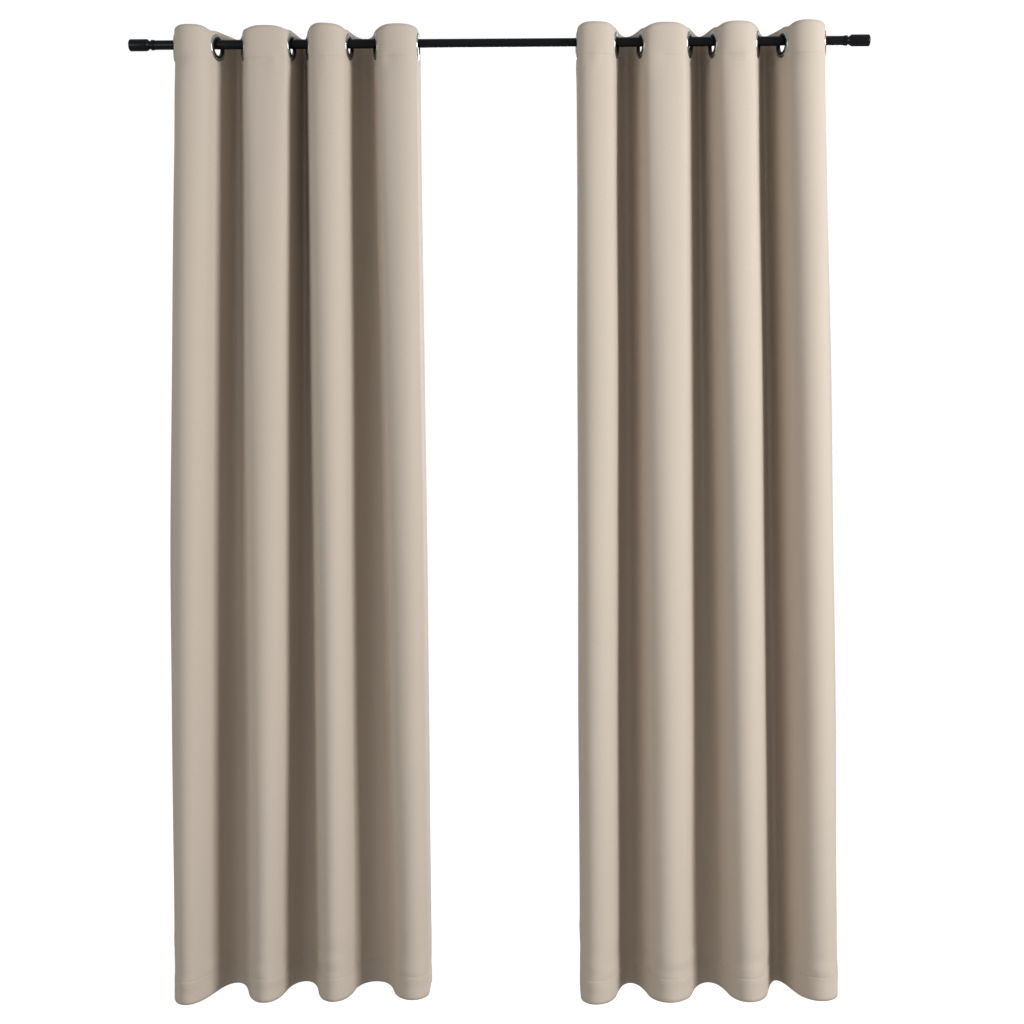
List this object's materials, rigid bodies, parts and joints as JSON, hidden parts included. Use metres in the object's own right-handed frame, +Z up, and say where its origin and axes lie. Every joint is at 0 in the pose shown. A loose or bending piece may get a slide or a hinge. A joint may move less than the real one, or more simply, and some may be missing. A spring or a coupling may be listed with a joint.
{
  "type": "eyelet curtains on a rod",
  "caption": "Pair of floor-length beige eyelet curtains hanging in deep even folds from a black telescoping rod with barrel finials.",
  "frame": {"origin": "on the rod's axis, halfway between the finials, where the rod's supports hold it", "axes": "+X along the rod to the right as seen from the room, -Y into the room, +Z up"},
  "size_m": [1.847, 0.1685, 2.45],
  "materials": {
    "beige_cloth": "dense matt woven polyester with a faint satin face",
    "satin_nickel": "satin nickel plate",
    "black_metal": "semi-gloss black powder coat"
  },
  "bodies": {
    "rod": {"centre_tube": "black_metal"},
    "left_rod_end": {"left_outer_tube": "black_metal", "left_finial": "black_metal", "left_collar": "black_metal"},
    "left_hanger_1": {"left_cloth_fold_1": "beige_cloth", "left_eyelet_1": "satin_nickel", "left_washer_1": "satin_nickel"},
    "left_hanger_2": {"left_cloth_fold_2": "beige_cloth", "left_eyelet_2": "satin_nickel", "left_washer_2": "satin_nickel"},
    "left_hanger_3": {"left_cloth_fold_3": "beige_cloth", "left_eyelet_3": "satin_nickel", "left_washer_3": "satin_nickel"},
    "left_hanger_4": {"left_cloth_fold_4": "beige_cloth", "left_eyelet_4": "satin_nickel", "left_washer_4": "satin_nickel"},
    "left_hanger_5": {"left_cloth_fold_5": "beige_cloth", "left_eyelet_5": "satin_nickel", "left_washer_5": "satin_nickel"},
    "left_hanger_6": {"left_cloth_fold_6": "beige_cloth", "left_eyelet_6": "satin_nickel", "left_washer_6": "satin_nickel"},
    "left_hanger_7": {"left_cloth_fold_7": "beige_cloth", "left_eyelet_7": "satin_nickel", "left_washer_7": "satin_nickel"},
    "left_hanger_8": {"left_cloth_fold_8": "beige_cloth", "left_eyelet_8": "satin_nickel", "left_washer_8": "satin_nickel"},
    "right_rod_end": {"right_outer_tube": "black_metal", "right_finial": "black_metal", "right_collar": "black_metal"},
    "right_hanger_1": {"right_cloth_fold_1": "beige_cloth", "right_eyelet_1": "satin_nickel", "right_washer_1": "satin_nickel"},
    "right_hanger_2": {"right_cloth_fold_2": "beige_cloth", "right_eyelet_2": "satin_nickel", "right_washer_2": "satin_nickel"},
    "right_hanger_3": {"right_cloth_fold_3": "beige_cloth", "right_eyelet_3": "satin_nickel", "right_washer_3": "satin_nickel"},
    "right_hanger_4": {"right_cloth_fold_4": "beige_cloth", "right_eyelet_4": "satin_nickel", "right_washer_4": "satin_nickel"},
    "right_hanger_5": {"right_cloth_fold_5": "beige_cloth", "right_eyelet_5": "satin_nickel", "right_washer_5": "satin_nickel"},
    "right_hanger_6": {"right_cloth_fold_6": "beige_cloth", "right_eyelet_6": "satin_nickel", "right_washer_6": "satin_nickel"},
    "right_hanger_7": {"right_cloth_fold_7": "beige_cloth", "right_eyelet_7": "satin_nickel", "right_washer_7": "satin_nickel"},
    "right_hanger_8": {"right_cloth_fold_8": "beige_cloth", "right_eyelet_8": "satin_nickel", "right_washer_8": "satin_nickel"}
  },
  "joints": [
    {"name": "left_tube_slide", "type": "slide", "parent": "rod", "child": "left_rod_end", "axis": [-1, 0, 0], "range_m": [-0.015, 0.2]},
    {"name": "left_panel_slide", "type": "slide", "parent": "rod", "child": "left_hanger_1", "axis": [1, 0, 0], "range_m": [-0.01, 0.045]},
    {"name": "left_panel_spread", "type": "slide", "parent": "left_hanger_1", "child": "left_hanger_8", "axis": [1, 0, 0], "range_m": [-0.16, 0.125], "deforming": ["left_cloth_fold_1", "left_cloth_fold_2", "left_cloth_fold_3", "left_cloth_fold_4", "left_cloth_fold_5", "left_cloth_fold_6", "left_cloth_fold_7", "left_cloth_fold_8"]},
    {"name": "left_eyelet_slide_2", "type": "slide", "parent": "left_hanger_1", "child": "left_hanger_2", "axis": [1, 0, 0], "range_m": [-0.01298, 0.01014]},
    {"name": "left_eyelet_slide_3", "type": "slide", "parent": "left_hanger_1", "child": "left_hanger_3", "axis": [1, 0, 0], "range_m": [-0.03104, 0.02425]},
    {"name": "left_eyelet_slide_4", "type": "slide", "parent": "left_hanger_1", "child": "left_hanger_4", "axis": [1, 0, 0], "range_m": [-0.07525, 0.05879]},
    {"name": "left_eyelet_slide_5", "type": "slide", "parent": "left_hanger_1", "child": "left_hanger_5", "axis": [1, 0, 0], "range_m": [-0.09185, 0.07176]},
    {"name": "left_eyelet_slide_6", "type": "slide", "parent": "left_hanger_1", "child": "left_hanger_6", "axis": [1, 0, 0], "range_m": [-0.12897, 0.10076]},
    {"name": "left_eyelet_slide_7", "type": "slide", "parent": "left_hanger_1", "child": "left_hanger_7", "axis": [1, 0, 0], "range_m": [-0.14748, 0.11522]},
    {"name": "right_tube_slide", "type": "slide", "parent": "rod", "child": "right_rod_end", "axis": [1, 0, 0], "range_m": [-0.015, 0.2]},
    {"name": "right_panel_slide", "type": "slide", "parent": "rod", "child": "right_hanger_1", "axis": [-1, 0, 0], "range_m": [-0.01, 0.045]},
    {"name": "right_panel_spread", "type": "slide", "parent": "right_hanger_1", "child": "right_hanger_8", "axis": [-1, 0, 0], "range_m": [-0.16, 0.125], "deforming": ["right_cloth_fold_1", "right_cloth_fold_2", "right_cloth_fold_3", "right_cloth_fold_4", "right_cloth_fold_5", "right_cloth_fold_6", "right_cloth_fold_7", "right_cloth_fold_8"]},
    {"name": "right_eyelet_slide_2", "type": "slide", "parent": "right_hanger_1", "child": "right_hanger_2", "axis": [-1, 0, 0], "range_m": [-0.01226, 0.00958]},
    {"name": "right_eyelet_slide_3", "type": "slide", "parent": "right_hanger_1", "child": "right_hanger_3", "axis": [-1, 0, 0], "range_m": [-0.02885, 0.02254]},
    {"name": "right_eyelet_slide_4", "type": "slide", "parent": "right_hanger_1", "child": "right_hanger_4", "axis": [-1, 0, 0], "range_m": [-0.0681, 0.05321]},
    {"name": "right_eyelet_slide_5", "type": "slide", "parent": "right_hanger_1", "child": "right_hanger_5", "axis": [-1, 0, 0], "range_m": [-0.09113, 0.0712]},
    {"name": "right_eyelet_slide_6", "type": "slide", "parent": "right_hanger_1", "child": "right_hanger_6", "axis": [-1, 0, 0], "range_m": [-0.1336, 0.10437]},
    {"name": "right_eyelet_slide_7", "type": "slide", "parent": "right_hanger_1", "child": "right_hanger_7", "axis": [-1, 0, 0], "range_m": [-0.14946, 0.11677]}
  ],
  "couplings": [
    {"joint": "left_eyelet_slide_2", "follows": "left_panel_spread", "ratio": 0.08108},
    {"joint": "left_eyelet_slide_3", "follows": "left_panel_spread", "ratio": 0.19394},
    {"joint": "left_eyelet_slide_4", "follows": "left_panel_spread", "ratio": 0.47031},
    {"joint": "left_eyelet_slide_5", "follows": "left_panel_spread", "ratio": 0.57401},
    {"joint": "left_eyelet_slide_6", "follows": "left_panel_spread", "ratio": 0.80606},
    {"joint": "left_eyelet_slide_7", "follows": "left_panel_spread", "ratio": 0.92175},
    {"joint": "right_eyelet_slide_2", "follows": "right_panel_spread", "ratio": 0.07658},
    {"joint": "right_eyelet_slide_3", "follows": "right_panel_spread", "ratio": 0.18028},
    {"joint": "right_eyelet_slide_4", "follows": "right_panel_spread", "ratio": 0.42561},
    {"joint": "right_eyelet_slide_5", "follows": "right_panel_spread", "ratio": 0.56954},
    {"joint": "right_eyelet_slide_6", "follows": "right_panel_spread", "ratio": 0.83494},
    {"joint": "right_eyelet_slide_7", "follows": "right_panel_spread", "ratio": 0.9341}
  ]
}
